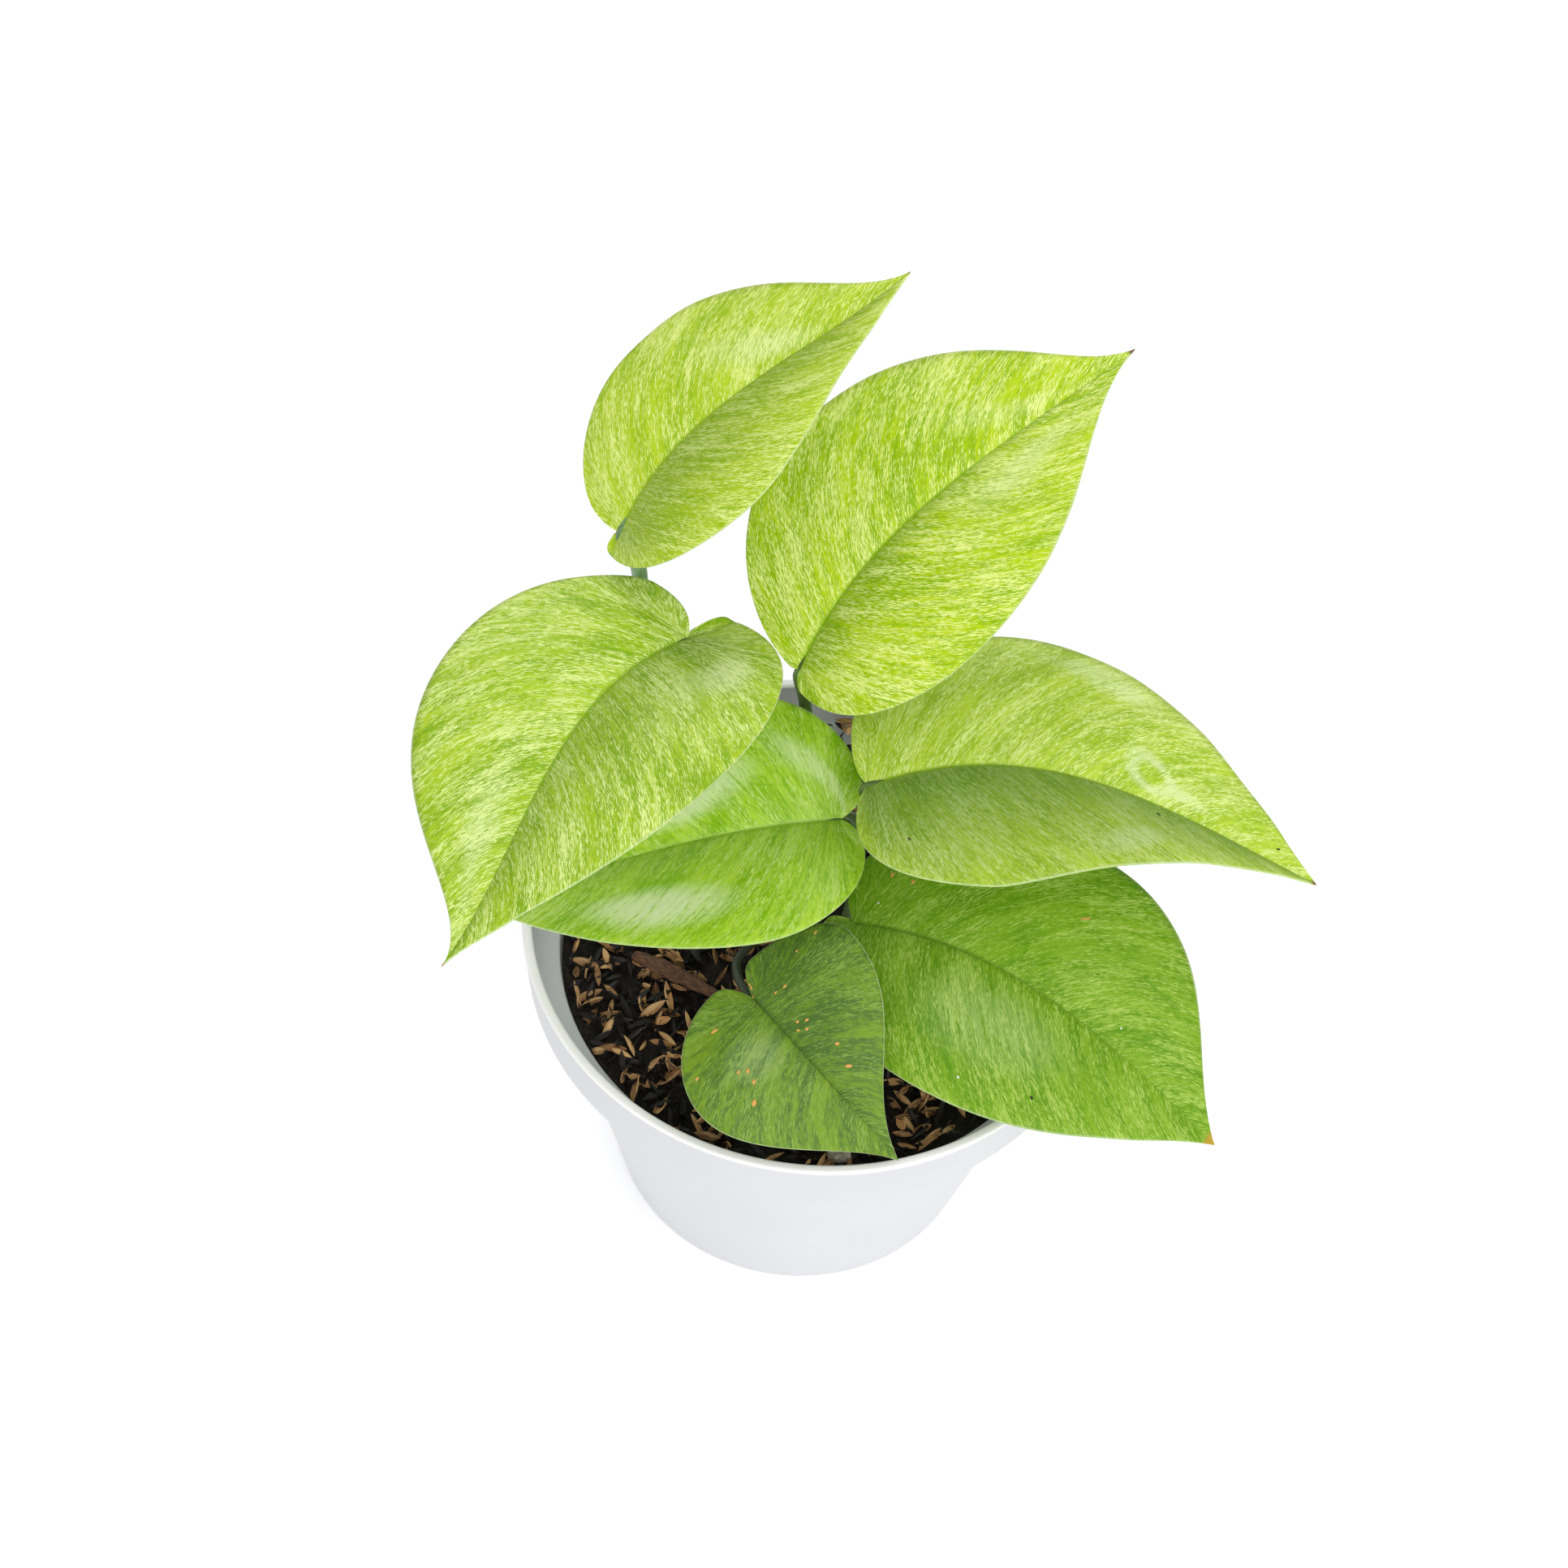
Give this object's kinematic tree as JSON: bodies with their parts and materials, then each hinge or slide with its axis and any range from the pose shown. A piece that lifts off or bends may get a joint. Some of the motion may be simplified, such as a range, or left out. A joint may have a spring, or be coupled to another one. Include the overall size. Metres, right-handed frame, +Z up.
{
  "type": "potted satin pothos",
  "caption": "Young satin pothos: heart-shaped leaves on stalks from one short vine, rooted in husk potting mix in a plain round tapered pot.",
  "frame": {"origin": "centre of the pot's flat underside", "axes": "+Z up out of the soil, +X to the right of the picture, -Y towards the front, where the smallest leaf hangs over the rim"},
  "size_m": [0.219, 0.17, 0.2435],
  "materials": {
    "white_plastic": "satin",
    "potting_mix": "matte",
    "vine_green": "satin",
    "leaf_light": "satin",
    "leaf_mid": "satin",
    "leaf_dark": "satin"
  },
  "bodies": {
    "root": {"pot": "white_plastic", "soil": "potting_mix", "vine": "vine_green", "leaf_1": "leaf_light", "leaf_2": "leaf_light", "leaf_3": "leaf_light", "leaf_4": "leaf_light", "leaf_5": "leaf_mid", "leaf_6": "leaf_mid", "leaf_7": "leaf_dark"}
  },
  "joints": []
}
